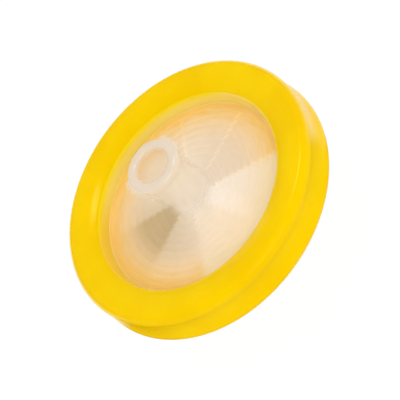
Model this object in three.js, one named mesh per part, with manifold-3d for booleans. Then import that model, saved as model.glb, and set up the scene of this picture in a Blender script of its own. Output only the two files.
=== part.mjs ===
// Syringe filter, 33 mm: two clear housings clamp a membrane disc, and a grip ring is moulded round
// both flanges. Millimetres. The axis is +Z, from the nozzle's tip at z = 0 up to the luer-lock rim.
// Outlines are drawn about the ring's waist, and the finished stack is lifted onto the nozzle's tip.
import * as THREE from 'three';
import { mergeVertices } from 'three/addons/utils/BufferGeometryUtils.js';
import Module from 'manifold-3d';

// Facets round the axis: a multiple of SECTORS, so that each sector starts on a facet's edge.
const FACETS = 64;
const SECTORS = 8;
const SECTOR_START = THREE.MathUtils.degToRad(12);

// Grip ring: two rounded lobes with a waist between them, and a domed face down to the opening.
const RING_RADIUS = 16.5;
const LOBE_SPACING = 3.4;
const LOBE_ROUND = 1.0;
const WAIST_DEPTH = 0.35;
const FACE_ROUND = 5.5;
const FACE_WIDTH = 4.3;
const OPENING_HEIGHT = 2.05;
const OPENING_DRAFT = 0.4;
const OPENING_ROUND = 0.35;

// Flanges of the two housings, which the ring covers at their edge.
const EDGE_COVER = 2.3;
const FLANGE_CLEARANCE = 0.02;
const CLAMP_WIDTH = 3.3;

// Inlet housing: window, chamber and ridges.
const WINDOW_TOP = 0.55;
const WINDOW_WALL = 0.8;
const WINDOW_SLOPE = 0.035;
const CLAMP_PLANE = -0.6;
const WELL_RADIUS = 3.2;
const INLET_HOLE_RADIUS = 1.1;
const RIDGE_COUNT = 8;
const RIDGE_DEPTH = 0.22;
const RIDGE_MARGIN = 0.1;
const CHANNEL_WIDTH = 0.5;
const CHANNEL_DEPTH = 0.1;

// Female luer-lock hub.
const HUB_HEIGHT = 8.1;
const HUB_RADIUS = 3.0;
const HUB_FILLET = 0.6;
const RIM_RADIUS = 3.36;
const RIM_HEIGHT = 0.95;
const RIM_STEP = 0.3;
const RIM_ROUND = 0.25;
const LUER_MOUTH_RADIUS = 2.14;
const LUER_DEPTH = 7.5;
const LUER_TAPER = 0.03;
const MOUTH_CHAMFER = 0.15;
const LUG_SPAN = 7.8;
const LUG_WIDTH = 3.4;
const LUG_HEIGHT = 2.3;
const LUG_FACE = 0.8;
const LUG_DROP = 0.15;

// Membrane.
const MEMBRANE_OVERLAP = 1.6;
const MEMBRANE_THICKNESS = 0.15;
const POCKET_CLEARANCE = 0.1;

// Outlet housing: support grid, boss and male luer nozzle.
const OUTLET_WALL = 0.9;
const DRAIN_COUNT = 6;
const DRAIN_DEPTH = 0.4;
const DRAIN_LAND = 0.45;
const DRAIN_HUB_RADIUS = 2.6;
const DRAIN_CHANNEL_WIDTH = 0.6;
const DRAIN_CHANNEL_DEPTH = 0.5;
const OUTLET_BORE_RADIUS = 1.05;
const BOSS_RADIUS = 3.6;
const BOSS_HEIGHT = 2.0;
const BOSS_ROUND = 0.4;
const NOZZLE_LENGTH = 8.5;
const NOZZLE_TIP_RADIUS = 1.98;
const NOZZLE_TIP_ROUND = 0.2;

const YELLOW_PLASTIC = new THREE.MeshStandardMaterial({ color: 0xf5c800, roughness: 0.35, metalness: 0 });
const CLEAR_PLASTIC = new THREE.MeshStandardMaterial({ color: 0xeee2cf, roughness: 0.25, metalness: 0 });
const MEMBRANE_WHITE = new THREE.MeshStandardMaterial({ color: 0xf7f2e8, roughness: 0.9, metalness: 0 });

// Levels and radii that more than one piece shares.
const OPENING_RADIUS = RING_RADIUS - FACE_WIDTH;
const FLANGE_RADIUS = RING_RADIUS - EDGE_COVER;
const CHAMBER_RADIUS = FLANGE_RADIUS - CLAMP_WIDTH;
const MEMBRANE_RADIUS = CHAMBER_RADIUS + MEMBRANE_OVERLAP;
const RIDGE_ROOT = WINDOW_TOP - WINDOW_WALL;
const RIDGE_PITCH = (CHAMBER_RADIUS - RIDGE_MARGIN - WELL_RADIUS) / RIDGE_COUNT;
const RIM_TOP = WINDOW_TOP + HUB_HEIGHT;
const MEMBRANE_SEAT = CLAMP_PLANE - MEMBRANE_THICKNESS;
const POCKET_RADIUS = MEMBRANE_RADIUS + POCKET_CLEARANCE;
const FLANGE_BOTTOM = MEMBRANE_SEAT - OUTLET_WALL;
const BOSS_BOTTOM = FLANGE_BOTTOM - BOSS_HEIGHT;
const NOZZLE_TIP = BOSS_BOTTOM - NOZZLE_LENGTH;
const SECTOR_ANGLE = (2 * Math.PI) / SECTORS;

const wasm = await Module();
wasm.setup();

// A point [radius, height] on a circle in the outline's plane.
function onCircle(centre, radius, angle) {
  return [centre[0] + radius * Math.cos(angle), centre[1] + radius * Math.sin(angle)];
}

// Points along an arc, both ends included.
function arc(centre, radius, from, to, steps) {
  const points = [];
  for (let i = 0; i <= steps; i += 1) {
    points.push(onCircle(centre, radius, from + ((to - from) * i) / steps));
  }
  return points;
}

// A solid of revolution about +Z from a closed outline of [radius, height] points.
function turned(outline) {
  const closed = [...outline, outline[0]].map(([r, z]) => new THREE.Vector2(r, z));
  const geometry = new THREE.LatheGeometry(closed, FACETS, SECTOR_START + Math.PI / 2);
  geometry.rotateX(Math.PI / 2);
  return geometry;
}

function toSolid(geometry) {
  const bare = geometry.clone();
  bare.deleteAttribute('normal');
  bare.deleteAttribute('uv');
  const merged = mergeVertices(bare, 1e-5);
  return new wasm.Manifold(new wasm.Mesh({
    numProp: 3,
    vertProperties: new Float32Array(merged.attributes.position.array),
    triVerts: new Uint32Array(merged.index.array),
  }));
}

function toGeometry(solid) {
  const mesh = solid.getMesh();
  const geometry = new THREE.BufferGeometry();
  geometry.setAttribute('position', new THREE.BufferAttribute(new Float32Array(mesh.vertProperties), 3));
  geometry.setIndex(new THREE.BufferAttribute(new Uint32Array(mesh.triVerts), 1));
  geometry.computeVertexNormals();
  return geometry;
}

// One side of the ring's outline, from the opening's foot over the face and the lobe to the waist.
function ringSide(flangeLevel) {
  const lobe = [RING_RADIUS - LOBE_ROUND, LOBE_SPACING / 2];
  const edge = [OPENING_RADIUS, OPENING_HEIGHT];
  const foot = [OPENING_RADIUS - OPENING_DRAFT, flangeLevel];

  // The face is an arc through the opening's edge that runs smoothly into the lobe.
  const span = Math.hypot(edge[0] - lobe[0], edge[1] - lobe[1]);
  const reach = FACE_ROUND - LOBE_ROUND;
  const corner = Math.acos((reach ** 2 + span ** 2 - FACE_ROUND ** 2) / (2 * reach * span));
  const down = Math.atan2(edge[1] - lobe[1], edge[0] - lobe[0]) + corner - 2 * Math.PI;
  const face = onCircle(lobe, reach, down);
  const edgeAngle = Math.atan2(edge[1] - face[1], edge[0] - face[0]);
  const joinAngle = down + Math.PI;
  const startAngle = edgeAngle - OPENING_ROUND / FACE_ROUND;

  // The waist is a hollow arc that meets both lobes smoothly.
  const inset = RING_RADIUS - WAIST_DEPTH - lobe[0];
  const waistRound = (lobe[1] ** 2 + inset ** 2 - LOBE_ROUND ** 2) / (2 * (LOBE_ROUND - inset));
  const waist = [lobe[0] + inset + waistRound, 0];
  const waistAngle = Math.atan2(waist[1] - lobe[1], waist[0] - lobe[0]);

  const wall = new THREE.Vector2(foot[0] - edge[0], foot[1] - edge[1]).setLength(OPENING_ROUND);
  const faceStart = onCircle(face, FACE_ROUND, startAngle);
  const edgeRound = new THREE.QuadraticBezierCurve(
    new THREE.Vector2(edge[0] + wall.x, edge[1] + wall.y),
    new THREE.Vector2(...edge),
    new THREE.Vector2(...faceStart),
  );
  return [
    foot,
    ...edgeRound.getPoints(2).slice(0, -1).map((point) => [point.x, point.y]),
    ...arc(face, FACE_ROUND, startAngle, joinAngle, 4),
    ...arc(lobe, LOBE_ROUND, joinAngle, waistAngle, 4).slice(1),
    ...arc(waist, waistRound, Math.PI + waistAngle, Math.PI, 1).slice(1),
  ];
}

function overmouldRing() {
  const front = ringSide(WINDOW_TOP);
  const back = ringSide(-FLANGE_BOTTOM).map(([r, z]) => [r, -z]).reverse();
  const grooveRadius = FLANGE_RADIUS + FLANGE_CLEARANCE;
  const groove = [[grooveRadius, FLANGE_BOTTOM], [grooveRadius, WINDOW_TOP]];
  return turned([...groove, ...front, ...back.slice(1)].reverse());
}

// Lifts the ceiling of each sector into a flat facet that rises towards the axis.
function facetCeiling(geometry) {
  const position = geometry.attributes.position;
  const flatDistance = CHAMBER_RADIUS * Math.cos(SECTOR_ANGLE / 2);
  for (let i = 0; i < position.count; i += 1) {
    const x = position.getX(i);
    const y = position.getY(i);
    const z = position.getZ(i);
    const radius = Math.hypot(x, y);
    const isCeiling = radius < CHAMBER_RADIUS - RIDGE_MARGIN / 2 && z < RIDGE_ROOT + RIDGE_DEPTH / 2;
    if (isCeiling) {
      const turn = (Math.atan2(y, x) - SECTOR_START + 4 * Math.PI) % SECTOR_ANGLE;
      const distance = radius * Math.cos(turn - SECTOR_ANGLE / 2);
      position.setZ(i, z + WINDOW_SLOPE * Math.max(0, flatDistance - distance));
    }
  }
  return geometry;
}

function inletOutline() {
  const ridges = [];
  for (let i = 0; i < RIDGE_COUNT; i += 1) {
    ridges.push([WELL_RADIUS + (i + 0.5) * RIDGE_PITCH, RIDGE_ROOT - RIDGE_DEPTH]);
    ridges.push([WELL_RADIUS + (i + 1) * RIDGE_PITCH, RIDGE_ROOT]);
  }
  const filletRadius = HUB_RADIUS + HUB_FILLET;
  const windowPeak = WINDOW_TOP + WINDOW_SLOPE * (CHAMBER_RADIUS - filletRadius);
  const luerFloor = RIM_TOP - LUER_DEPTH;
  return [
    [INLET_HOLE_RADIUS, RIDGE_ROOT],
    [WELL_RADIUS, RIDGE_ROOT],
    ...ridges,
    [CHAMBER_RADIUS, RIDGE_ROOT],
    [CHAMBER_RADIUS, CLAMP_PLANE],
    [FLANGE_RADIUS, CLAMP_PLANE],
    [FLANGE_RADIUS, WINDOW_TOP],
    [CHAMBER_RADIUS, WINDOW_TOP],
    ...arc([filletRadius, windowPeak + HUB_FILLET], HUB_FILLET, -Math.PI / 2, -Math.PI, 3),
    [HUB_RADIUS, RIM_TOP - RIM_HEIGHT - RIM_STEP],
    [RIM_RADIUS, RIM_TOP - RIM_HEIGHT],
    ...arc([RIM_RADIUS - RIM_ROUND, RIM_TOP - RIM_ROUND], RIM_ROUND, 0, Math.PI / 2, 2),
    [LUER_MOUTH_RADIUS + MOUTH_CHAMFER, RIM_TOP],
    [LUER_MOUTH_RADIUS, RIM_TOP - MOUTH_CHAMFER],
    [LUER_MOUTH_RADIUS - LUER_TAPER * LUER_DEPTH, luerFloor],
    [INLET_HOLE_RADIUS, luerFloor],
  ];
}

// The luer lock's two lugs, in line with the X axis: what a slab keeps of a tapered collar.
function lugs() {
  const top = RIM_TOP - LUG_DROP;
  const bottom = top - LUG_HEIGHT;
  const root = (LUER_MOUTH_RADIUS + HUB_RADIUS) / 2;
  const collar = turned([
    [root, bottom],
    [HUB_RADIUS, bottom],
    [LUG_SPAN / 2, top - LUG_FACE],
    [LUG_SPAN / 2, top],
    [root, top],
  ]);
  const slab = new THREE.BoxGeometry(LUG_SPAN * 2, LUG_WIDTH, LUG_HEIGHT * 2);
  slab.translate(0, 0, (top + bottom) / 2);
  return toSolid(collar).intersect(toSolid(slab));
}

// A straight groove cutter that runs outwards along a sector's edge.
function radialCutter(index, from, to, width, bottom, top, tilt) {
  const geometry = new THREE.BoxGeometry(to - from, width, top - bottom);
  geometry.translate((to - from) / 2, 0, (top - bottom) / 2);
  geometry.rotateY(Math.atan(tilt));
  geometry.translate(from, 0, bottom);
  geometry.rotateZ(SECTOR_START + index * SECTOR_ANGLE);
  return toSolid(geometry);
}

function inletHousing() {
  let solid = toSolid(facetCeiling(turned(inletOutline()))).add(lugs());
  const tilt = WINDOW_SLOPE * Math.cos(SECTOR_ANGLE / 2);
  const inner = WELL_RADIUS;
  const outer = CHAMBER_RADIUS - RIDGE_MARGIN;
  const innerRise = tilt * (CHAMBER_RADIUS - inner);
  const top = RIDGE_ROOT + innerRise + CHANNEL_DEPTH;
  const bottom = top - CHANNEL_DEPTH - RIDGE_DEPTH * 2;
  for (let i = 0; i < SECTORS; i += 1) {
    solid = solid.subtract(radialCutter(i, inner, outer, CHANNEL_WIDTH, bottom, top, tilt));
  }
  return toGeometry(solid);
}

function membrane() {
  const geometry = new THREE.CylinderGeometry(
    MEMBRANE_RADIUS, MEMBRANE_RADIUS, MEMBRANE_THICKNESS, FACETS, 1, false, SECTOR_START + Math.PI / 2,
  );
  geometry.rotateX(Math.PI / 2);
  geometry.translate(0, 0, (CLAMP_PLANE + MEMBRANE_SEAT) / 2);
  return geometry;
}

function outletOutline() {
  const pitch = (CHAMBER_RADIUS - DRAIN_HUB_RADIUS) / DRAIN_COUNT;
  const drains = [];
  for (let i = 0; i < DRAIN_COUNT; i += 1) {
    const outer = CHAMBER_RADIUS - i * pitch;
    const inner = outer - pitch + DRAIN_LAND;
    drains.push([outer, MEMBRANE_SEAT]);
    drains.push([(outer + inner) / 2, MEMBRANE_SEAT - DRAIN_DEPTH]);
    drains.push([inner, MEMBRANE_SEAT]);
  }
  return [
    [OUTLET_BORE_RADIUS, NOZZLE_TIP],
    [NOZZLE_TIP_RADIUS - NOZZLE_TIP_ROUND, NOZZLE_TIP],
    [NOZZLE_TIP_RADIUS, NOZZLE_TIP + NOZZLE_TIP_ROUND],
    [NOZZLE_TIP_RADIUS + LUER_TAPER * NOZZLE_LENGTH, BOSS_BOTTOM],
    [BOSS_RADIUS - BOSS_ROUND, BOSS_BOTTOM],
    [BOSS_RADIUS, BOSS_BOTTOM + BOSS_ROUND],
    [BOSS_RADIUS, FLANGE_BOTTOM],
    [FLANGE_RADIUS, FLANGE_BOTTOM],
    [FLANGE_RADIUS, CLAMP_PLANE],
    [POCKET_RADIUS, CLAMP_PLANE],
    [POCKET_RADIUS, MEMBRANE_SEAT],
    ...drains,
    [OUTLET_BORE_RADIUS, MEMBRANE_SEAT],
  ];
}

function outletHousing() {
  let solid = toSolid(turned(outletOutline()));
  const top = MEMBRANE_SEAT + DRAIN_CHANNEL_DEPTH;
  const bottom = MEMBRANE_SEAT - DRAIN_CHANNEL_DEPTH;
  for (let i = 0; i < SECTORS; i += 1) {
    const cutter = radialCutter(i, 0, CHAMBER_RADIUS, DRAIN_CHANNEL_WIDTH, bottom, top, 0);
    solid = solid.subtract(cutter);
  }
  return toGeometry(solid);
}

function piece(name, geometry, material) {
  const mesh = new THREE.Mesh(geometry, material);
  mesh.name = name;
  return mesh;
}

const stack = new THREE.Group();
stack.add(
  piece('overmould_ring', overmouldRing(), YELLOW_PLASTIC),
  piece('inlet_housing', inletHousing(), CLEAR_PLASTIC),
  piece('membrane', membrane(), MEMBRANE_WHITE),
  piece('outlet_housing', outletHousing(), CLEAR_PLASTIC),
);
stack.position.z = -NOZZLE_TIP;

const syringeFilter = new THREE.Group();
syringeFilter.add(stack);

export default syringeFilter;
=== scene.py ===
import bmesh
import bpy
import math
from mathutils import Matrix, Vector


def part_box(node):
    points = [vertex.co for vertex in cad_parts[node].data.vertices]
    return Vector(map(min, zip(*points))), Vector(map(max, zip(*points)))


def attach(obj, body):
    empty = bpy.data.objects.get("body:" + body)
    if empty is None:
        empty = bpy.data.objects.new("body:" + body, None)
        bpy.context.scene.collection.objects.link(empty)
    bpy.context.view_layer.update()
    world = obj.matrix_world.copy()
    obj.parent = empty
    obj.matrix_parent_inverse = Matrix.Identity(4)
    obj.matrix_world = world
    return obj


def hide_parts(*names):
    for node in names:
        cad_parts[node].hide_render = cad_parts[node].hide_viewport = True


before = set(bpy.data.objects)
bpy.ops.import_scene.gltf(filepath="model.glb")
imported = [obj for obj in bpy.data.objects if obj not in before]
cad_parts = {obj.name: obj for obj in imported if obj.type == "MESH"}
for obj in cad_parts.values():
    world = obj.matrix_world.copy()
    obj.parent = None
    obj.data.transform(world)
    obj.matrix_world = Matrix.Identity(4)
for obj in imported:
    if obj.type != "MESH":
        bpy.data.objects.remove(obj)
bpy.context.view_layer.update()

MM = 0.001
STEPS = 192             # steps round the axis, the same number in each of the eight sectors
SECTORS = 8
SECTOR_START = math.radians(11)
SECTOR_ANGLE = 2 * math.pi / SECTORS
SAME_POINT = 1e-5       # points closer than this are one
SHARP_ANGLE = math.radians(40)

# Levels and radii that the frame gives, in millimetres; heights count from the ring's waist.
ring_low, ring_high = (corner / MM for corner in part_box("overmould_ring"))
inlet_low, inlet_high = (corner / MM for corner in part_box("inlet_housing"))
disc_low, disc_high = (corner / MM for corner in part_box("membrane"))
outlet_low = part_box("outlet_housing")[0] / MM
WAIST = (ring_low.z + ring_high.z) / 2
RING_RADIUS = ring_high.x
FLANGE_RADIUS = inlet_high.y
RIM_TOP = inlet_high.z - WAIST
CLAMP_PLANE = inlet_low.z - WAIST
DISC_RADIUS = disc_high.x
DISC_SEAT = disc_low.z - WAIST
NOZZLE_TIP = outlet_low.z - WAIST

# Grip ring.
LOBE_SPACING = 3.4
LOBE_ROUND = 1.0
FRONT_LOBE_INSET = 0.12
WAIST_DEPTH = 0.35
FACE_ROUND = 5.5
FACE_STEPS, LOBE_STEPS, WAIST_STEPS = 14, 18, 12
OPENING = (12.2, 2.05)
OPENING_FOOT = 11.8
OPENING_ROUND = 0.3
GROOVE_RADIUS = FLANGE_RADIUS + 0.02

# Inlet housing: window, ridges and hub.
WINDOW_TOP = 0.55
WINDOW_SLOPE = 0.035
CHAMBER_RADIUS = 10.9
RIDGE_ROOT = -0.25
RIDGE_DEPTH = 0.22
RIDGE_COUNT = 8
WELL_RADIUS = 3.2
RIDGE_PITCH = (CHAMBER_RADIUS - 0.1 - WELL_RADIUS) / RIDGE_COUNT
FACET_TILT = 0.23
INLET_HOLE = 1.1
HUB_RADIUS = 3.0
HUB_FILLET = 0.6
WINDOW_PEAK = WINDOW_TOP + WINDOW_SLOPE * (CHAMBER_RADIUS - HUB_RADIUS - HUB_FILLET)
RIM_RADIUS = 3.36
RIM_HEIGHT = 0.95
RIM_STEP = 0.3
LUER_MOUTH = 2.14
LUER_DEPTH = 7.5
LUER_FLOOR_RADIUS = 1.915
LUG_REACH = 3.9
LUG_HALF_WIDTH = 1.7
LUG_HEIGHT = 2.3
LUG_FACE = 0.8
LUG_DROP = 0.15
LUG_ROUND = 0.12
LUG_SWEEP = math.radians(45)            # the slice's reach to either side, before its sides are cut
LUG_CORNER = math.radians(35)           # edges sharper than this are rounded

# Outlet housing.
FLANGE_BOTTOM = -1.65
POCKET_RADIUS = DISC_RADIUS + 0.1
DRAIN_COUNT = 6
DRAIN_DEPTH = 0.4
DRAIN_LAND = 0.45
DRAIN_HUB = 2.6
OUTLET_BORE = 1.05
BOSS_RADIUS = 3.6
BOSS_BOTTOM = FLANGE_BOTTOM - 2.0
NOZZLE_TIP_RADIUS = 1.98
NOZZLE_ROOT_RADIUS = 2.235

# The housing's tones: cream at the axis, warmer at the flange's edge as a painted glow of the
# ring's yellow. Each facet goes evenly from the tone of its first edge to that of its last, as
# painted
# light and shade: bright where it faces the light, dull and dark where it faces away. Next to the
# ring it takes a painted glow of the ring's amber, or straw where it faces the light.
AXIS_TONE = "#F8F1E8"
EDGE_TONE = "#F2D2A4"
WHITE = "#FFFFFF"
BRIGHT = "#FCF7EE"
PALE = "#F4ECE0"
DULL = "#E8DFCA"
DARK = "#D5C5A0"
AMBER = "#F8C660"
STRAW = "#F2DAA8"
FACET_SHADE_STARTS = (PALE, BRIGHT, BRIGHT, DARK, DULL, BRIGHT, WHITE, PALE)
FACET_SHADE_ENDS = (BRIGHT, BRIGHT, DULL, DARK, PALE, BRIGHT, WHITE, PALE)
FACET_RING_GLOWS = (AMBER, AMBER, AMBER, AMBER, AMBER, STRAW, STRAW, AMBER)
FACET_BLEND = 0.07                      # how much of a facet its tone takes to run into the next

# Where the window's tones come and go, as radii, and how strong its lines are.
FACETS_RISE = (1.6, 3.2)
FACETS_FADE = (6.5, 9.8)
MARGIN_REACH = (6.5, 11.4)
MARGIN_CURVE = 1.6
WALL_LIGHT = (11.55, 11.75)
JAG = 0.45                              # how far a tread's end runs past the facet's edge
TREAD_CONTRAST = (0.003, 0.10)
EDGE_HALF_WIDTH = (0.05, 0.4)           # a facet's painted bright edge, from its core to where it ends
EDGE_BEHIND = 0.12                      # how far round that edge lies past the change of tone
EDGE_GAIN = 0.10
RELIEF = 0.15
EDGE_LIGHT = math.radians(5)            # the side of the window on which the edges' painted highlights are brightest
RIDGE_LIGHT = math.radians(40)          # the line across it along which the treads' painted shade is clearest
RIDGE_SHADE = math.radians(124)         # the side of the window on which they are clearest
TOOTH_LIGHT = math.radians(300)         # the side of the window on which the teeth of the painted shade are clearest

# The ring's wall round the window, painted pale as painted light and darker on the left as painted
# shade: its lip, as a width and heights from the waist, and the sides on which it changes, each a
# direction and the distances along it from the axis.
LIP_WIDTH = 0.15
LIP_BAND = (OPENING[1] - 0.85, OPENING[1] + 0.05)
FAR_SIDE, FAR_REACH = (0.09, 0.996, 0.0), (4, 8)
LEFT_SIDE, LEFT_REACH = (-0.99, 0.13, 0.0), (6, 11)

# The hub's zones, as radii or as heights from the waist, and how opaque each is.
BORE_BLEND = (LUER_MOUTH - 0.1, LUER_MOUTH + 0.2)
COLLAR_BLEND = (RIM_RADIUS - 0.1, RIM_RADIUS + 0.2)
LUG_BLEND = (RIM_RADIUS + 0.05, RIM_RADIUS + 0.35)
MOUTH_RISE = (RIM_TOP - 2.4, RIM_TOP - 0.8)
RIM_RISE = (RIM_TOP - 1.0, RIM_TOP - 0.1)
FOOT_RISE = (WINDOW_PEAK, WINDOW_PEAK + 3 * HUB_FILLET)
WALL_OPACITY, BORE_OPACITY, RIM_OPACITY, LUG_OPACITY = 0.38, 0.22, 0.85, 0.4

PLASTIC_IOR = 1.49
RIM_COAT_IOR = 1.9                      # above the plastic's own, for the rim's small glints

# Stage: the floor in metres, the camera's angles, and its distance, field and offset.
FLOOR_SIZE = 2.0
FLOOR_GAP = 0.2 * MM
CAMERA_TILT, CAMERA_ROLL = math.radians(45.25), math.radians(36.24)
CAMERA_DISTANCE = 0.3
CAMERA_FIELD = 44.84 * MM
CAMERA_RIGHT, CAMERA_DOWN = 1.41 * MM, 0.96 * MM


def linear(colour):
    """An sRGB hex colour as the linear values that a socket takes."""
    parts = [int(colour[i:i + 2], 16) / 255 for i in (1, 3, 5)]
    parts = [p / 12.92 if p <= 0.04045 else ((p + 0.055) / 1.055) ** 2.4 for p in parts]
    return (*parts, 1.0)


def add(tree, kind, settings=(), links=()):
    """Adds one node, gives it its settings, and links its inputs to other nodes' outputs."""
    made = tree.nodes.new("ShaderNode" + kind)
    for name, value in dict(settings).items():
        if isinstance(name, int) or name in made.inputs:
            made.inputs[name].default_value = value
        else:
            setattr(made, name, value)
    for name, source in dict(links).items():
        tree.links.new(source, made.inputs[name])
    return made


def bare_material(name):
    """A new material with an empty node tree and its output."""
    material = bpy.data.materials.new(name)
    material.use_nodes = True
    tree = material.node_tree
    tree.nodes.clear()
    return material, tree, add(tree, "OutputMaterial")


def draw(bm, start, runs):
    """A closed outline in the XZ plane, from straight runs to (radius, height) and arcs.

    An arc is (centre, degrees, steps), and turns from +X towards +Z where its degrees are positive.
    """
    first = last = bm.verts.new((start[0], 0, start[1]))
    for run in runs:
        if len(run) == 2:
            last = bmesh.ops.extrude_vert_indiv(bm, verts=[last])["verts"][0]
            last.co = (run[0], 0, run[1])
        else:
            (r, z), degrees, steps = run
            turned = bmesh.ops.spin(bm, geom=[last], cent=(r, 0, z), axis=(0, -1, 0),
                                    angle=math.radians(degrees), steps=steps)
            last = next(v for v in turned["geom_last"] if isinstance(v, bmesh.types.BMVert))
    bm.edges.new((last, first))


def turn(bm):
    """Turns the outline once round the Z axis."""
    bmesh.ops.rotate(bm, verts=bm.verts, cent=(0, 0, 0),
                     matrix=Matrix.Rotation(SECTOR_START, 3, "Z"))
    bmesh.ops.spin(bm, geom=bm.verts[:] + bm.edges[:], cent=(0, 0, 0), axis=(0, 0, 1),
                   angle=2 * math.pi, steps=STEPS, use_merge=True)
    bmesh.ops.remove_doubles(bm, verts=bm.verts, dist=SAME_POINT)
    bmesh.ops.recalc_face_normals(bm, faces=bm.faces)


def soften(bm, radius, height, offset, segments):
    """Rounds the circular edge at that radius and height."""
    close = 1e-3
    ring = [e for e in bm.edges
            if all(abs(math.hypot(v.co.x, v.co.y) - radius) < close
                   and abs(v.co.z - height) < close for v in e.verts)]
    bmesh.ops.bevel(bm, geom=ring, offset=offset, offset_type="OFFSET", segments=segments,
                    profile=0.5, affect="EDGES", material=-1, clamp_overlap=True)


def place(bm, name, material, node):
    """Makes the mesh a piece, in metres and in the part's frame, that stands for a CAD node."""
    bmesh.ops.translate(bm, verts=bm.verts, vec=(0, 0, WAIST))
    bmesh.ops.scale(bm, verts=bm.verts, vec=(MM, MM, MM))
    mesh = bpy.data.meshes.new(name)
    bm.to_mesh(mesh)
    bm.free()
    mesh.shade_smooth()
    mesh.set_sharp_from_angle(angle=SHARP_ANGLE)
    mesh.materials.append(material)
    piece = bpy.data.objects.new(name, mesh)
    bpy.context.scene.collection.objects.link(piece)
    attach(piece, "root")
    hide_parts(node)


def grip_ring():
    """The moulding round both flanges: a front and a rear lobe with a shallow waist between them,
    and gently crowned faces that fall to the openings."""
    lobe = Vector((RING_RADIUS - LOBE_ROUND, LOBE_SPACING / 2))
    edge = Vector(OPENING)
    span = (edge - lobe).length
    reach = FACE_ROUND - LOBE_ROUND
    corner = math.acos((reach ** 2 + span ** 2 - FACE_ROUND ** 2) / (2 * reach * span))
    down = math.atan2(edge.y - lobe.y, edge.x - lobe.x) + corner - 2 * math.pi
    face = lobe + reach * Vector((math.cos(down), math.sin(down)))
    edge_angle = math.atan2(edge.y - face.y, edge.x - face.x)
    join_angle = down + math.pi
    inset = RING_RADIUS - WAIST_DEPTH - lobe.x
    hollow = (lobe.y ** 2 + inset ** 2 - LOBE_ROUND ** 2) / (2 * (LOBE_ROUND - inset))
    waist_angle = math.atan2(-lobe.y, inset + hollow)
    face_turn = math.degrees(join_angle - edge_angle)
    lobe_turn = math.degrees(waist_angle - join_angle)
    waist_turn = -2 * math.degrees(waist_angle)
    bm = bmesh.new()
    draw(bm, (OPENING_FOOT, WINDOW_TOP), [
        tuple(edge),
        (tuple(face), face_turn, FACE_STEPS),
        (tuple(lobe), lobe_turn, LOBE_STEPS),
        ((lobe.x + inset + hollow, 0), waist_turn, WAIST_STEPS),
        ((lobe.x, -lobe.y), lobe_turn, LOBE_STEPS),
        ((face.x, -face.y), face_turn, FACE_STEPS),
        (OPENING_FOOT, FLANGE_BOTTOM),
        (GROOVE_RADIUS, FLANGE_BOTTOM),
        (GROOVE_RADIUS, WINDOW_TOP),
    ])
    for v in bm.verts:      # the front lobe stands out a little less than the rear one
        up = min(max(v.co.z / lobe.y, 0), 1)
        out = min(max((v.co.x - edge.x) / (lobe.x - edge.x), 0), 1)
        v.co.x -= FRONT_LOBE_INSET * up * up * (3 - 2 * up) * out * out * (3 - 2 * out)
    turn(bm)
    for side in (1, -1):
        soften(bm, OPENING[0], side * OPENING[1], OPENING_ROUND, segments=4)
    place(bm, "grip_ring_moulding", yellow, "overmould_ring")


def lug(bm, turned_by):
    """One luer lug: a slice of a tapered collar, cut to parallel sides."""
    top = RIM_TOP - LUG_DROP
    root = (LUER_MOUTH + HUB_RADIUS) / 2
    draw(bm, (root, top - LUG_HEIGHT), [
        (HUB_RADIUS, top - LUG_HEIGHT), (LUG_REACH, top - LUG_FACE), (LUG_REACH, top),
        (root, top),
    ])
    bm.faces.new(bm.verts)
    bmesh.ops.rotate(bm, verts=bm.verts, cent=(0, 0, 0),
                     matrix=Matrix.Rotation(-LUG_SWEEP, 3, "Z"))
    bmesh.ops.spin(bm, geom=bm.verts[:] + bm.edges[:] + bm.faces[:], cent=(0, 0, 0),
                   axis=(0, 0, 1), angle=2 * LUG_SWEEP, steps=24)
    for side in (1, -1):
        cut = bmesh.ops.bisect_plane(bm, geom=bm.verts[:] + bm.edges[:] + bm.faces[:],
                                     dist=SAME_POINT, plane_co=(0, side * LUG_HALF_WIDTH, 0),
                                     plane_no=(0, side, 0), clear_outer=True)
        rim = [e for e in cut["geom_cut"] if isinstance(e, bmesh.types.BMEdge)]
        bmesh.ops.contextual_create(bm, geom=rim)
    bmesh.ops.remove_doubles(bm, verts=bm.verts, dist=1e-4)
    bmesh.ops.recalc_face_normals(bm, faces=bm.faces)
    corners = [e for e in bm.edges if e.calc_face_angle(0) > LUG_CORNER
               and max(math.hypot(v.co.x, v.co.y) for v in e.verts) > HUB_RADIUS + 0.1]
    bmesh.ops.bevel(bm, geom=corners, offset=LUG_ROUND, offset_type="OFFSET", segments=3,
                    profile=0.5, affect="EDGES", material=-1, clamp_overlap=True)
    bmesh.ops.rotate(bm, verts=bm.verts, cent=(0, 0, 0),
                     matrix=Matrix.Rotation(turned_by, 3, "Z"))


def loose(bm, name):
    """The mesh as an object of its own, still in millimetres."""
    mesh = bpy.data.meshes.new(name)
    bm.to_mesh(mesh)
    bm.free()
    made = bpy.data.objects.new(name, mesh)
    bpy.context.scene.collection.objects.link(made)
    return made


def weld(bm, others):
    """Joins other closed shells into this one, as one moulding."""
    body = loose(bm, "body")
    for other in others:
        join = body.modifiers.new("join", "BOOLEAN")
        join.operation = "UNION"
        join.solver = "EXACT"
        join.object = other
    bpy.context.view_layer.update()
    merged = bmesh.new()
    merged.from_object(body, bpy.context.evaluated_depsgraph_get())
    for used in (body, *others):
        bpy.data.objects.remove(used)
    return merged


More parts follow.
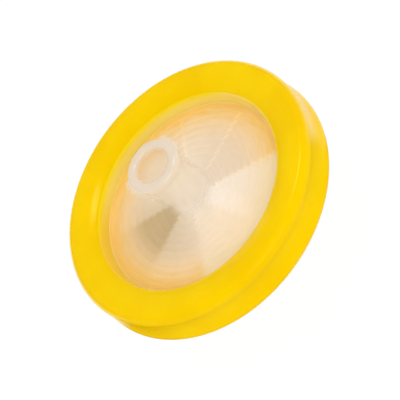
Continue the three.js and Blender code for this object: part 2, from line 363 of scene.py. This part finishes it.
def window_plate():
    """The flange and window, which runs on under the hub as the floor of its inlet."""
    ridges = []
    for i in range(RIDGE_COUNT):
        ridges += [(WELL_RADIUS + (i + 0.5) * RIDGE_PITCH, RIDGE_ROOT - RIDGE_DEPTH),
                   (WELL_RADIUS + (i + 1) * RIDGE_PITCH, RIDGE_ROOT)]
    bm = bmesh.new()
    draw(bm, (0, RIDGE_ROOT), [
        (WELL_RADIUS, RIDGE_ROOT), *ridges, (CHAMBER_RADIUS, RIDGE_ROOT),
        (CHAMBER_RADIUS, CLAMP_PLANE), (FLANGE_RADIUS, CLAMP_PLANE), (FLANGE_RADIUS, WINDOW_TOP),
        (CHAMBER_RADIUS, WINDOW_TOP), (HUB_RADIUS + HUB_FILLET, WINDOW_PEAK), (0, WINDOW_PEAK),
    ])
    turn(bm)
    place(bm, "window_plate", window_milky, "inlet_housing")


def luer_hub():
    """The female luer hub, from its fillet on the window up to the rim and its two lugs."""
    foot = WINDOW_PEAK - 0.02
    floor = RIM_TOP - LUER_DEPTH
    bm = bmesh.new()
    draw(bm, (INLET_HOLE, foot), [
        (HUB_RADIUS + HUB_FILLET, foot), (HUB_RADIUS + HUB_FILLET, WINDOW_PEAK),
        ((HUB_RADIUS + HUB_FILLET, WINDOW_PEAK + HUB_FILLET), -90, 8),
        (HUB_RADIUS, RIM_TOP - RIM_HEIGHT - RIM_STEP), (RIM_RADIUS, RIM_TOP - RIM_HEIGHT),
        (RIM_RADIUS, RIM_TOP), (LUER_MOUTH, RIM_TOP), (LUER_FLOOR_RADIUS, floor),
        (INLET_HOLE, floor),
    ])
    turn(bm)
    soften(bm, RIM_RADIUS, RIM_TOP, offset=0.4, segments=6)
    soften(bm, LUER_MOUTH, RIM_TOP, offset=0.35, segments=6)
    soften(bm, RIM_RADIUS, RIM_TOP - RIM_HEIGHT, offset=0.12, segments=3)
    soften(bm, LUER_FLOOR_RADIUS, floor, offset=0.3, segments=4)
    soften(bm, INLET_HOLE, floor, offset=0.12, segments=3)
    lugs = []
    for turned_by in (0, math.pi):
        side = bmesh.new()
        lug(side, turned_by)
        lugs.append(loose(side, "lug"))
    place(weld(bm, lugs), "luer_hub", hub_milky, "inlet_housing")


def filter_disc():
    """The flat disc that lies on the outlet housing, clamped at its edge."""
    bm = bmesh.new()
    thickness = CLAMP_PLANE - DISC_SEAT
    bmesh.ops.create_cone(bm, cap_ends=True, cap_tris=False, segments=STEPS,
                          radius1=DISC_RADIUS, radius2=DISC_RADIUS, depth=thickness,
                          matrix=Matrix.Translation((0, 0, DISC_SEAT + thickness / 2)))
    place(bm, "filter_disc", film, "membrane")


def outlet_shell():
    """The outlet housing: its pocket and ring-shaped drains, flange, boss and slip nozzle."""
    pitch = (CHAMBER_RADIUS - DRAIN_HUB) / DRAIN_COUNT
    drains = []
    for i in range(DRAIN_COUNT):
        outer = CHAMBER_RADIUS - i * pitch
        inner = outer - pitch + DRAIN_LAND
        drains += [(outer, DISC_SEAT), ((outer + inner) / 2, DISC_SEAT - DRAIN_DEPTH),
                   (inner, DISC_SEAT)]
    bm = bmesh.new()
    draw(bm, (OUTLET_BORE, NOZZLE_TIP), [
        (NOZZLE_TIP_RADIUS, NOZZLE_TIP), (NOZZLE_ROOT_RADIUS, BOSS_BOTTOM),
        (BOSS_RADIUS, BOSS_BOTTOM), (BOSS_RADIUS, FLANGE_BOTTOM),
        (FLANGE_RADIUS, FLANGE_BOTTOM), (FLANGE_RADIUS, CLAMP_PLANE),
        (POCKET_RADIUS, CLAMP_PLANE), (POCKET_RADIUS, DISC_SEAT), *drains,
        (OUTLET_BORE, DISC_SEAT),
    ])
    turn(bm)
    soften(bm, NOZZLE_TIP_RADIUS, NOZZLE_TIP, offset=0.2, segments=4)
    soften(bm, NOZZLE_ROOT_RADIUS, BOSS_BOTTOM, offset=0.25, segments=4)
    soften(bm, BOSS_RADIUS, BOSS_BOTTOM, offset=0.4, segments=4)
    soften(bm, BOSS_RADIUS, FLANGE_BOTTOM, offset=0.3, segments=4)
    place(bm, "outlet_shell", plain_milky, "outlet_housing")


def from_the_axis(tree):
    """Object coordinates, their three parts, and the distance from the Z axis."""
    place_on = add(tree, "TexCoord")
    axes = add(tree, "SeparateXYZ", links={0: place_on.outputs["Object"]})
    flat = add(tree, "CombineXYZ", links={0: axes.outputs[0], 1: axes.outputs[1]})
    radius = add(tree, "VectorMath", {"operation": "LENGTH"}, {0: flat.outputs[0]})
    return place_on, axes, radius


def clouded(tree, place_on, patch, detail, low, high):
    """Two tones of one colour, in soft patches of about that size in millimetres."""
    cloud = add(tree, "TexNoise", {"Scale": 1 / (patch * MM), "Detail": detail},
                {"Vector": place_on.outputs["Object"]})
    tint = add(tree, "ValToRGB", links={0: cloud.outputs[0]})
    tint.color_ramp.elements[0].color = linear(low)
    tint.color_ramp.elements[1].color = linear(high)
    return cloud, tint


def facing(tree, bearing, angle):
    """How far a bearing faces that angle: 1 towards it, -1 away from it."""
    turned = add(tree, "Math", {"operation": "SUBTRACT", 1: angle}, {0: bearing.outputs[0]})
    return add(tree, "Math", {"operation": "COSINE"}, {0: turned.outputs[0]})


def moulded_yellow_polypropylene():
    """Satin moulded polypropylene, pigmented right through: an even, saturated yellow with a soft
    gloss from a polished mould, faintly clouded where the melt flowed. The wall round the window
    is painted pale, as painted light from the clear plastic below it, and a darker yellow on the
    left side, as painted shade."""
    material, tree, out = bare_material("moulded_yellow_polypropylene")
    place_on, axes, radius = from_the_axis(tree)
    flow, tint = clouded(tree, place_on, 6.25, 3.0, "#EEC300", "#F3CB00")
    tint.color_ramp.elements[0].position = 0.35
    tint.color_ramp.elements[1].position = 0.65

    # The wall and its lip: bright yellow at the lip of the far side, painted pale below it as
    # painted light, and darker on the left side as painted shade.
    painted_wall_mask = add(tree, "MapRange", {"From Min": OPENING[0] * MM,
                                  "From Max": (OPENING[0] + LIP_WIDTH) * MM,
                                  "To Min": 1.0, "To Max": 0.0}, {"Value": radius.outputs["Value"]})
    far = add(tree, "VectorMath", {"operation": "DOT_PRODUCT", 1: FAR_SIDE},
              {0: place_on.outputs["Object"]})
    at_lip = add(tree, "MapRange", {"interpolation_type": "SMOOTHSTEP",
                                    "From Min": FAR_REACH[0] * MM, "From Max": FAR_REACH[1] * MM,
                                    "To Min": 1.0, "To Max": 0.0}, {"Value": far.outputs["Value"]})
    below = add(tree, "MapRange", {"interpolation_type": "SMOOTHSTEP", "To Min": 1.0,
                                   "From Min": (WAIST + LIP_BAND[0]) * MM,
                                   "From Max": (WAIST + LIP_BAND[1]) * MM},
                {"Value": axes.outputs[2], "To Max": at_lip.outputs[0]})
    left = add(tree, "VectorMath", {"operation": "DOT_PRODUCT", 1: LEFT_SIDE},
               {0: place_on.outputs["Object"]})
    painted_left_shade = add(tree, "MapRange", {"interpolation_type": "SMOOTHSTEP",
                                    "From Min": LEFT_REACH[0] * MM,
                                    "From Max": LEFT_REACH[1] * MM},
                 {"Value": left.outputs["Value"]})
    wall = add(tree, "Mix", {"data_type": "RGBA", 6: linear("#FFE06A"), 7: linear("#FACE40")},
               {0: painted_left_shade.outputs[0]})
    lip = add(tree, "Mix", {"data_type": "RGBA", 6: linear("#FBDE00")},
              {0: below.outputs[0], 7: wall.outputs[2]})
    ring_with_painted_wall = add(tree, "Mix", {"data_type": "RGBA"},
                {0: painted_wall_mask.outputs[0], 6: tint.outputs[0], 7: lip.outputs[2]})

    # A grain about 0.4 mm wide, coarser than a mould's own so that it shows at all.
    grain = add(tree, "TexNoise", {"Scale": 1 / (0.3846 * MM), "Detail": 2.0},
                {"Vector": place_on.outputs["Object"]})
    gloss = add(tree, "MapRange", {"To Min": 0.18, "To Max": 0.26}, {"Value": flow.outputs[0]})
    bump = add(tree, "Bump", {"Strength": 0.05, "Distance": 0.02 * MM},
               {"Height": grain.outputs[0]})
    body = add(tree, "BsdfPrincipled", {
        "IOR": PLASTIC_IOR, "Specular Tint": linear("#F6CA01"), "Subsurface Weight": 0.2,
        "Subsurface Radius": (1.0, 0.6, 0.1), "Subsurface Scale": 0.6 * MM,
        "Coat Weight": 0.15, "Coat Roughness": 0.12, "Coat IOR": PLASTIC_IOR},
        {"Base Color": ring_with_painted_wall.outputs[2], "Roughness": gloss.outputs[0],
         "Normal": bump.outputs[0]})
    tree.links.new(body.outputs[0], out.inputs[0])
    return material


def facet_ramp(tree, place_round, starts, ends):
    """A colour for each of the eight facets, from one edge to the other, that runs over into the
    next facet's within FACET_BLEND of the edge."""
    ramp = add(tree, "ValToRGB", links={0: place_round.outputs[0]})
    last, first = Vector(linear(ends[-1])), Vector(linear(starts[0]))
    stops = ramp.color_ramp.elements
    stops[0].color = stops[1].color = (last + first) / 2
    for i in range(SECTORS):
        stops.new((i + FACET_BLEND) / SECTORS).color = linear(starts[i])
        stops.new((i + 1 - FACET_BLEND) / SECTORS).color = linear(ends[i])
    return ramp


def facet_count(tree, bearing, radius, tread):
    """Where a point lies round the window, in facets: the whole part is the facet, the rest how
    far across it. The edges are jagged, since each tread ends a little further round than it
    began, and least so on the side that faces away from TOOTH_LIGHT."""
    turned = add(tree, "Math", {"operation": "SUBTRACT", 1: SECTOR_START},
                 {0: bearing.outputs[0]})
    round_by = add(tree, "Math", {"operation": "DIVIDE", 1: SECTOR_ANGLE}, {0: turned.outputs[0]})
    jag = add(tree, "Math", {"operation": "MULTIPLY", 1: JAG * MM / SECTOR_ANGLE},
              {0: tread.outputs[0]})
    jag = add(tree, "Math", {"operation": "DIVIDE"},
              {0: jag.outputs[0], 1: radius.outputs["Value"]})
    toothed = add(tree, "MapRange", {"From Min": -1.0, "From Max": -0.2, "To Min": 0.4},
                  {"Value": facing(tree, bearing, TOOTH_LIGHT).outputs[0]})
    jag = add(tree, "Math", {"operation": "MULTIPLY"}, {0: jag.outputs[0], 1: toothed.outputs[0]})
    count = add(tree, "Math", {"operation": "ADD"}, {0: round_by.outputs[0], 1: jag.outputs[0]})
    return add(tree, "Math", {"operation": "WRAP", 1: SECTORS, 2: 0.0}, {0: count.outputs[0]})


def window_tones(tree, count, bearing, radius, step):
    """The window's colour with its painted light and shade but without its lines, and the streaks
    that break it up.
    """
    # Painted glow: the tone warms from the axis towards the ring, as if the ring's yellow lit it.
    reach = add(tree, "Math", {"operation": "DIVIDE", 1: FLANGE_RADIUS * MM},
                {0: radius.outputs["Value"]})
    warmth = add(tree, "ValToRGB", links={0: reach.outputs[0]})
    warmth.color_ramp.elements[0].color = linear(AXIS_TONE)
    warmth.color_ramp.elements[1].color = linear(EDGE_TONE)

    # Each facet's painted light and shade, which rises outside the hub and fades to half towards
    # the ring.
    place_round = add(tree, "Math", {"operation": "DIVIDE", 1: SECTORS}, {0: count.outputs[0]})
    shade = facet_ramp(tree, place_round, FACET_SHADE_STARTS, FACET_SHADE_ENDS)
    hold = add(tree, "MapRange", {"interpolation_type": "SMOOTHSTEP",
                                  "From Min": FACETS_RISE[0] * MM,
                                  "From Max": FACETS_RISE[1] * MM},
               {"Value": radius.outputs["Value"]})
    fade = add(tree, "MapRange", {"interpolation_type": "SMOOTHSTEP",
                                  "From Min": FACETS_FADE[0] * MM,
                                  "From Max": FACETS_FADE[1] * MM, "To Min": 1.0, "To Max": 0.5},
               {"Value": radius.outputs["Value"]})
    hold = add(tree, "Math", {"operation": "MULTIPLY"}, {0: hold.outputs[0], 1: fade.outputs[0]})
    shaded = add(tree, "Mix", {"data_type": "RGBA", "blend_type": "MULTIPLY"},
                 {0: hold.outputs[0], 6: warmth.outputs[0], 7: shade.outputs[0]})

    # A painted glow of the ring's yellow near the ring, in patches that run round the axis.
    margin = facet_ramp(tree, place_round, FACET_RING_GLOWS, FACET_RING_GLOWS)
    glow = add(tree, "MapRange", {"From Min": MARGIN_REACH[0] * MM,
                                  "From Max": MARGIN_REACH[1] * MM},
               {"Value": radius.outputs["Value"]})
    glow = add(tree, "Math", {"operation": "POWER", 1: MARGIN_CURVE}, {0: glow.outputs[0]})
    turns = add(tree, "Math", {"operation": "MULTIPLY", 1: 2.5}, {0: bearing.outputs[0]})
    run = add(tree, "CombineXYZ", links={0: step.outputs[0], 1: turns.outputs[0]})
    streaks = add(tree, "TexNoise", {"Scale": 2.2, "Detail": 2.0}, {"Vector": run.outputs[0]})
    patchy = add(tree, "MapRange", {"From Min": 0.3, "From Max": 0.7,
                                    "To Min": 1.25, "To Max": 0.8}, {"Value": streaks.outputs[0]})
    glow = add(tree, "Math", {"operation": "MULTIPLY", "use_clamp": True},
               {0: glow.outputs[0], 1: patchy.outputs[0]})
    glowing = add(tree, "Mix", {"data_type": "RGBA"},
                  {0: glow.outputs[0], 6: shaded.outputs[2], 7: margin.outputs[0]})

    # The very edge, painted lighter where the ring's wall shines in.
    lit = add(tree, "MapRange", {"From Min": WALL_LIGHT[0] * MM, "From Max": WALL_LIGHT[1] * MM,
                                 "To Max": 0.8}, {"Value": radius.outputs["Value"]})
    toned = add(tree, "Mix", {"data_type": "RGBA", 7: linear("#FFDD88")},
                {0: lit.outputs[0], 6: glowing.outputs[2]})
    return toned, streaks


def edge_glints(tree, count, radius, tread, in_window):
    """Painted highlights on the facets' edges: tread ends that catch the light, most where they
    face it.
    """
    nearest = add(tree, "Math", {"operation": "ROUND"}, {0: count.outputs[0]})
    past = add(tree, "Math", {"operation": "SUBTRACT"},
               {0: count.outputs[0], 1: nearest.outputs[0]})
    offset = add(tree, "Math", {"operation": "MULTIPLY", 1: SECTOR_ANGLE}, {0: past.outputs[0]})
    offset = add(tree, "Math", {"operation": "MULTIPLY_ADD", 2: -EDGE_BEHIND * MM},
                 {0: offset.outputs[0], 1: radius.outputs["Value"]})
    away = add(tree, "Math", {"operation": "ABSOLUTE"}, {0: offset.outputs[0]})
    near = add(tree, "MapRange", {"interpolation_type": "SMOOTHSTEP",
                                  "From Min": EDGE_HALF_WIDTH[0] * MM,
                                  "From Max": EDGE_HALF_WIDTH[1] * MM,
                                  "To Min": 1.0, "To Max": 0.0}, {"Value": away.outputs[0]})
    near = add(tree, "Math", {"operation": "MULTIPLY"},
               {0: near.outputs[0], 1: in_window.outputs[0]})
    dash = add(tree, "MapRange", {"From Min": 0.1, "From Max": 0.7,
                                  "To Min": 0.4, "To Max": 1.0}, {"Value": tread.outputs[0]})
    near = add(tree, "Math", {"operation": "MULTIPLY"}, {0: near.outputs[0], 1: dash.outputs[0]})
    edge_bearing = add(tree, "Math", {"operation": "MULTIPLY_ADD", 1: SECTOR_ANGLE,
                                      2: SECTOR_START - EDGE_LIGHT}, {0: nearest.outputs[0]})
    catch = add(tree, "Math", {"operation": "COSINE"}, {0: edge_bearing.outputs[0]})
    catch = add(tree, "Math", {"operation": "MAXIMUM", 1: 0.0}, {0: catch.outputs[0]})
    glint = add(tree, "Math", {"operation": "MULTIPLY"}, {0: near.outputs[0], 1: catch.outputs[0]})
    return add(tree, "Math", {"operation": "MULTIPLY_ADD", 1: EDGE_GAIN, 2: 1.0},
               {0: glint.outputs[0]})


def moulded_natural_polypropylene():
    """Natural polypropylene, moulded in a slim section: milky and translucent, with a smooth skin
    over the chamber's eight facets and their treads. Their look is painted into the colour: the
    facets as bright and dark fans of painted light and shade, the treads as fine lines of painted
    shade, and the facets' edges with painted highlights. It is warmer towards the ring, a painted
    glow of the ring's yellow shining through."""
    material, tree, out = bare_material("moulded_natural_polypropylene")
    _, axes, radius = from_the_axis(tree)
    bearing = add(tree, "Math", {"operation": "ARCTAN2"}, {0: axes.outputs[1], 1: axes.outputs[0]})

    # The treads climb and drop back every RIDGE_PITCH.
    step = add(tree, "Math", {"operation": "MULTIPLY_ADD", 1: 1 / (RIDGE_PITCH * MM),
                              2: -WELL_RADIUS / RIDGE_PITCH}, {0: radius.outputs["Value"]})
    tread = add(tree, "Math", {"operation": "FRACT"}, {0: step.outputs[0]})
    count = facet_count(tree, bearing, radius, tread)
    toned, streaks = window_tones(tree, count, bearing, radius, step)

    # The treads as lines of painted shade, clearest across the light.
    outside = add(tree, "Math", {"operation": "LESS_THAN", 1: CHAMBER_RADIUS * MM},
                  {0: radius.outputs["Value"]})
    in_window = add(tree, "Math", {"operation": "GREATER_THAN", 1: WELL_RADIUS * MM},
                    {0: radius.outputs["Value"]})
    in_window = add(tree, "Math", {"operation": "MULTIPLY"},
                    {0: in_window.outputs[0], 1: outside.outputs[0]})
    clear = add(tree, "Math", {"operation": "POWER", 1: 2.0},
                {0: facing(tree, bearing, RIDGE_LIGHT).outputs[0]})
    shaded = add(tree, "MapRange", {"From Min": -0.9, "From Max": 0.6},
                 {"Value": facing(tree, bearing, RIDGE_SHADE).outputs[0]})
    clear = add(tree, "Math", {"operation": "MULTIPLY"},
                {0: clear.outputs[0], 1: shaded.outputs[0]})
    depth = add(tree, "MapRange", {"To Min": TREAD_CONTRAST[0], "To Max": TREAD_CONTRAST[1]},
                {"Value": clear.outputs[0]})
    depth = add(tree, "Math", {"operation": "MULTIPLY"},
                {0: depth.outputs[0], 1: in_window.outputs[0]})
    climb = add(tree, "Math", {"operation": "SUBTRACT", 0: 0.5}, {1: tread.outputs[0]})
    line = add(tree, "Math", {"operation": "MULTIPLY_ADD", 2: 1.0},
               {0: climb.outputs[0], 1: depth.outputs[0]})
    streak = add(tree, "MapRange", {"From Min": 0.3, "From Max": 0.7,
                                    "To Min": 0.975, "To Max": 1.02},
                 {"Value": streaks.outputs[0]})
    glint = edge_glints(tree, count, radius, tread, in_window)
    lined = toned
    for shading in (line, streak, glint):
        lined = add(tree, "Mix", {"data_type": "RGBA", "blend_type": "MULTIPLY", 0: 1.0},
                    {6: lined.outputs[2], 7: shading.outputs[0]})

    # The relief under the skin, as heights: facets that lean outwards, with the treads on them.
    across = add(tree, "Math", {"operation": "FRACT"}, {0: count.outputs[0]})
    middle = add(tree, "Math", {"operation": "SUBTRACT", 1: 0.5}, {0: across.outputs[0]})
    lean = add(tree, "Math", {"operation": "MULTIPLY", 1: SECTOR_ANGLE}, {0: middle.outputs[0]})
    cosine = add(tree, "Math", {"operation": "COSINE"}, {0: lean.outputs[0]})
    along = add(tree, "Math", {"operation": "MULTIPLY"},
                {0: cosine.outputs[0], 1: radius.outputs["Value"]})
    slope = add(tree, "Math", {"operation": "MULTIPLY", 1: -FACET_TILT}, {0: along.outputs[0]})
    climbed = add(tree, "Math", {"operation": "MULTIPLY_ADD", 1: RIDGE_PITCH * MM * FACET_TILT},
                  {0: step.outputs[0], 2: slope.outputs[0]})
    back = add(tree, "Math", {"operation": "MULTIPLY_ADD", 1: -RIDGE_PITCH * MM * FACET_TILT},
               {0: tread.outputs[0], 2: climbed.outputs[0]})
    relief = add(tree, "Bump", {"Strength": RELIEF, "Distance": 1.0}, {"Height": back.outputs[0]})

    body = add(tree, "BsdfPrincipled", {
        "IOR": PLASTIC_IOR, "Roughness": 0.45,
        "Coat Weight": 1.0, "Coat Roughness": 0.08, "Coat IOR": PLASTIC_IOR},
        {"Base Color": lined.outputs[2], "Normal": relief.outputs[0]})
    tree.links.new(body.outputs[0], out.inputs[0])
    return material


def clear_natural_polypropylene():
    """The same polypropylene in the hub's even wall: clear enough to see the far wall, cloudier
    and cooler at the thick rim, clearer again in the lugs and at the foot. Down the bore it is
    painted light where it would be shaded, and near the mouth it takes a painted reflection of the
    ring's yellow."""
    material, tree, out = bare_material("clear_natural_polypropylene")
    place_on, axes, radius = from_the_axis(tree)
    _, tint = clouded(tree, place_on, 1.111, 2.0, "#E9DAC7", "#EEE1D0")

    # The colour: the outside; the inside, painted light down the bore and a painted reflection of
    # the ring's yellow near the mouth; and the rim.
    bore = add(tree, "MapRange", {"From Min": BORE_BLEND[0] * MM, "From Max": BORE_BLEND[1] * MM,
                                  "To Min": 1.0, "To Max": 0.0}, {"Value": radius.outputs["Value"]})
    mouth = add(tree, "MapRange", {"interpolation_type": "SMOOTHSTEP",
                                   "From Min": (WAIST + MOUTH_RISE[0]) * MM,
                                   "From Max": (WAIST + MOUTH_RISE[1]) * MM},
                {"Value": axes.outputs[2]})
    inside = add(tree, "Mix", {"data_type": "RGBA", 6: linear("#FFF6E2"), 7: linear("#F2C57C")},
                 {0: mouth.outputs[0]})
    warmer = add(tree, "Mix", {"data_type": "RGBA"},
                 {0: bore.outputs[0], 6: tint.outputs[0], 7: inside.outputs[2]})
    rim = add(tree, "MapRange", {"interpolation_type": "SMOOTHSTEP",
                                 "From Min": (WAIST + RIM_RISE[0]) * MM,
                                 "From Max": (WAIST + RIM_RISE[1]) * MM},
              {"Value": axes.outputs[2]})
    collar = add(tree, "MapRange", {"From Min": COLLAR_BLEND[0] * MM,
                                    "From Max": COLLAR_BLEND[1] * MM,
                                    "To Min": 1.0, "To Max": 0.0},
                 {"Value": radius.outputs["Value"]})
    rim = add(tree, "Math", {"operation": "MULTIPLY"}, {0: rim.outputs[0], 1: collar.outputs[0]})
    greyer = add(tree, "Mix", {"data_type": "RGBA", 7: linear("#E7D8C5")},
                 {0: rim.outputs[0], 6: warmer.outputs[2]})

    # How opaque it is: least at the foot, at a slant and in the lugs.
    outer = add(tree, "MapRange", {"To Min": WALL_OPACITY, "To Max": BORE_OPACITY},
                {"Value": bore.outputs[0]})
    alpha = add(tree, "MapRange", {"To Max": RIM_OPACITY},
                {"Value": rim.outputs[0], "To Min": outer.outputs[0]})
    foot = add(tree, "MapRange", {"interpolation_type": "SMOOTHSTEP",
                                  "From Min": (WAIST + FOOT_RISE[0]) * MM,
                                  "From Max": (WAIST + FOOT_RISE[1]) * MM},
               {"Value": axes.outputs[2]})
    slant = add(tree, "LayerWeight")
    fading = add(tree, "MapRange", {"interpolation_type": "SMOOTHSTEP",
                                    "From Min": 0.45, "From Max": 0.95,
                                    "To Min": 1.0, "To Max": 0.35},
                 {"Value": slant.outputs["Facing"]})
    lugs = add(tree, "MapRange", {"From Min": LUG_BLEND[0] * MM, "From Max": LUG_BLEND[1] * MM,
                                  "To Min": 1.0, "To Max": LUG_OPACITY},
               {"Value": radius.outputs["Value"]})
    for share in (foot, fading, lugs):
        alpha = add(tree, "Math", {"operation": "MULTIPLY"},
                    {0: alpha.outputs[0], 1: share.outputs[0]})
    body = add(tree, "BsdfPrincipled", {
        "IOR": PLASTIC_IOR, "Roughness": 0.2, "Specular IOR Level": 0.0,
        "Coat Roughness": 0.08, "Coat IOR": RIM_COAT_IOR},
        {"Base Color": greyer.outputs[2], "Alpha": alpha.outputs[0],
         "Coat Weight": rim.outputs[0]})
    tree.links.new(body.outputs[0], out.inputs[0])
    return material


def plain_natural_polypropylene():
    """The same polypropylene over the solid outlet side: an even milky white with a satin skin."""
    material, tree, out = bare_material("plain_natural_polypropylene")
    place_on = add(tree, "TexCoord")
    _, tint = clouded(tree, place_on, 2.5, 3.0, "#E6DDCF", "#EEE6DA")
    body = add(tree, "BsdfPrincipled", {
        "IOR": PLASTIC_IOR, "Roughness": 0.3, "Subsurface Weight": 0.5,
        "Subsurface Radius": (1.0, 0.8, 0.6), "Subsurface Scale": 1.0 * MM},
        {"Base Color": tint.outputs[0]})
    tree.links.new(body.outputs[0], out.inputs[0])
    return material


def microporous_film():
    """Cast microporous film: matt white, with a fibrous tooth. The tooth is drawn a third of a
    millimetre wide, since its own is too fine to see."""
    material, tree, out = bare_material("cast_microporous_film")
    place_on = add(tree, "TexCoord")
    _, tint = clouded(tree, place_on, 1 / 3, 4.0, "#F1ECE2", "#FAF6EE")
    body = add(tree, "BsdfPrincipled", {"Roughness": 0.9}, {"Base Color": tint.outputs[0]})
    tree.links.new(body.outputs[0], out.inputs[0])
    return material


def white_paper():
    """White paper that reads white to the eye and keeps a faint shadow. What glossy plastic
    mirrors of it is brown in front of the part and clear of the ring, as a dark bench would be."""
    material, tree, out = bare_material("white_paper_floor")
    path = add(tree, "LightPath")
    place_on = add(tree, "TexCoord")
    front = add(tree, "VectorMath", {"operation": "DOT_PRODUCT", 1: (0.31, 0.95, 0.0)},
                {0: place_on.outputs["Object"]})
    mirrored = add(tree, "MapRange", {"interpolation_type": "SMOOTHSTEP", "From Min": 0.0,
                                      "From Max": 5 * MM, "To Min": 1.0, "To Max": 0.0},
                   {"Value": front.outputs["Value"]})
    reach = add(tree, "VectorMath", {"operation": "LENGTH"}, {0: place_on.outputs["Object"]})
    beyond = add(tree, "MapRange", {"interpolation_type": "SMOOTHSTEP",
                                    "From Min": RING_RADIUS * MM,
                                    "From Max": 1.2 * RING_RADIUS * MM},
                 {"Value": reach.outputs["Value"]})
    mirrored = add(tree, "Math", {"operation": "MULTIPLY"},
                   {0: mirrored.outputs[0], 1: beyond.outputs[0]})
    mirrored = add(tree, "Math", {"operation": "MULTIPLY"},
                   {0: mirrored.outputs[0], 1: path.outputs["Is Glossy Ray"]})
    tone = add(tree, "Mix", {"data_type": "RGBA", 6: linear("#F7F7F7"), 7: linear("#A88400")},
               {0: mirrored.outputs[0]})
    seen = add(tree, "Math", {"operation": "ADD", "use_clamp": True},
               {0: path.outputs["Is Camera Ray"], 1: path.outputs["Is Transmission Ray"]})
    share = add(tree, "Math", {"operation": "MULTIPLY", 1: 0.9}, {0: seen.outputs[0]})
    paper = add(tree, "BsdfDiffuse", links={"Color": tone.outputs[2]})
    white = add(tree, "Emission", {"Color": (1, 1, 1, 1), "Strength": 1.03})
    mix = add(tree, "MixShader",
              links={0: share.outputs[0], 1: paper.outputs[0], 2: white.outputs[0]})
    tree.links.new(mix.outputs[0], out.inputs[0])
    return material


def studio_floor():
    """A plain sheet just below the nozzle's tip."""
    bm = bmesh.new()
    bmesh.ops.create_grid(bm, x_segments=1, y_segments=1, size=FLOOR_SIZE)
    bmesh.ops.translate(bm, verts=bm.verts, vec=(0, 0, outlet_low.z * MM - FLOOR_GAP))
    mesh = bpy.data.meshes.new("floor")
    bm.to_mesh(mesh)
    bm.free()
    mesh.materials.append(white_paper())
    floor = bpy.data.objects.new("floor", mesh)
    bpy.context.scene.collection.objects.link(floor)


def soft_light(name, azimuth, elevation, distance, size, watts):
    """A square softbox that looks at the middle of the ring. Angles are in degrees, the rest in
    metres and watts."""
    a, e = math.radians(azimuth), math.radians(elevation)
    away = Vector((math.cos(a) * math.cos(e), math.sin(a) * math.cos(e), math.sin(e)))
    lamp = bpy.data.lights.new(name, "AREA")
    lamp.size = size
    lamp.energy = watts
    box = bpy.data.objects.new(name, lamp)
    bpy.context.scene.collection.objects.link(box)
    box.location = Vector((0, 0, WAIST * MM)) + away * distance
    box.rotation_euler = away.to_track_quat("Z", "Y").to_euler()


def surroundings():
    """A white room. Its light is a little stronger low down, where the walls are near. What
    glossy plastic mirrors of it is bright at the horizon and dark above."""
    world = bpy.data.worlds.new("white_room")
    bpy.context.scene.world = world
    world.use_nodes = True
    tree = world.node_tree
    tree.nodes.clear()
    way = add(tree, "TexCoord")
    axes = add(tree, "SeparateXYZ", links={0: way.outputs["Generated"]})
    path = add(tree, "LightPath")
    wall = add(tree, "MapRange", {"interpolation_type": "SMOOTHSTEP",
                                  "From Min": 0.3, "From Max": 0.75,
                                  "To Min": 1.06, "To Max": 1.0}, {"Value": axes.outputs[2]})
    mirrored = add(tree, "MapRange", {"interpolation_type": "SMOOTHSTEP",
                                      "From Min": -0.05, "From Max": 0.12,
                                      "To Min": 1.25, "To Max": 0.0}, {"Value": axes.outputs[2]})
    level = add(tree, "Mix", {"data_type": "FLOAT"},
                {0: path.outputs["Is Glossy Ray"], 2: wall.outputs[0], 3: mirrored.outputs[0]})
    room = add(tree, "Background", {"Color": (1, 1, 1, 1)}, {"Strength": level.outputs[0]})
    add(tree, "OutputWorld", links={0: room.outputs[0]})


def camera():
    """A long lens that looks down on the front face, with the hub leaning to the upper left."""
    back = Vector((0, -math.sin(CAMERA_TILT), math.cos(CAMERA_TILT)))
    level = Vector((1, 0, 0))
    rise = Vector((0, math.cos(CAMERA_TILT), math.sin(CAMERA_TILT)))
    right = math.sin(CAMERA_ROLL) * level - math.cos(CAMERA_ROLL) * rise
    up = math.cos(CAMERA_ROLL) * level + math.sin(CAMERA_ROLL) * rise
    place_at = Vector((0, 0, (WAIST + LOBE_SPACING / 2) * MM)) + back * CAMERA_DISTANCE
    place_at += right * CAMERA_RIGHT - up * CAMERA_DOWN
    view = bpy.data.cameras.new("camera")
    view.sensor_width = 36
    view.lens = view.sensor_width * CAMERA_DISTANCE / CAMERA_FIELD
    view.clip_start = 0.01
    stand = bpy.data.objects.new("camera", view)
    bpy.context.scene.collection.objects.link(stand)
    stand.matrix_world = Matrix((
        (right.x, up.x, back.x, place_at.x), (right.y, up.y, back.y, place_at.y),
        (right.z, up.z, back.z, place_at.z), (0, 0, 0, 1)))
    bpy.context.scene.camera = stand


yellow = moulded_yellow_polypropylene()
window_milky = moulded_natural_polypropylene()
hub_milky = clear_natural_polypropylene()
plain_milky = plain_natural_polypropylene()
film = microporous_film()

grip_ring()
window_plate()
luer_hub()
filter_disc()
outlet_shell()

camera()
studio_floor()
surroundings()
soft_light("key", azimuth=34, elevation=66, distance=0.35, size=0.07, watts=0.09)
soft_light("front_fill", azimuth=270, elevation=34, distance=0.45, size=0.30, watts=0.30)

bpy.context.scene.view_settings.view_transform = "Standard"
